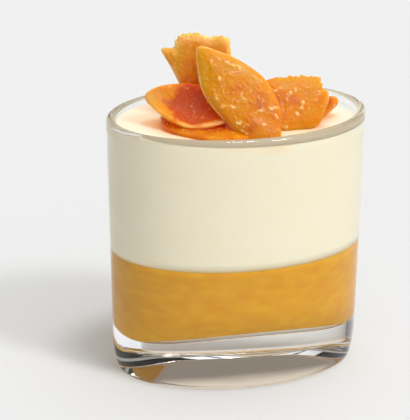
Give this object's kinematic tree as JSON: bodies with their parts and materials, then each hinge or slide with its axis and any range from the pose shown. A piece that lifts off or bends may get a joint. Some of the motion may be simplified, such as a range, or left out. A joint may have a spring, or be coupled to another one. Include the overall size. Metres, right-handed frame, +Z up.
{
  "type": "yogurt mousse dessert in an oval glass",
  "caption": "Oval clear glass of yogurt mousse over a layer of orange fruit puree, topped with torn pieces of poached orange.",
  "frame": {"origin": "middle of the glass's foot, on the surface it stands on", "axes": "+Z up, +X along the long axis of the oval, and the topping faces -Y, turned a little towards -X"},
  "size_m": [0.076, 0.0524, 0.0997],
  "materials": {
    "clear_glass": "clear pressed glass with a fire-polished rim",
    "puree": "smooth orange fruit puree seen through glass",
    "mousse": "smooth cream-white set yogurt mousse",
    "orange_fruit": "wet translucent poached orange"
  },
  "bodies": {
    "root": {"glass": "clear_glass", "fruit_puree": "puree", "yogurt_mousse": "mousse", "segment_front": "orange_fruit", "segment_back": "orange_fruit", "segment_left": "orange_fruit", "segment_under": "orange_fruit", "segment_right": "orange_fruit", "segment_tip": "orange_fruit"}
  },
  "joints": []
}
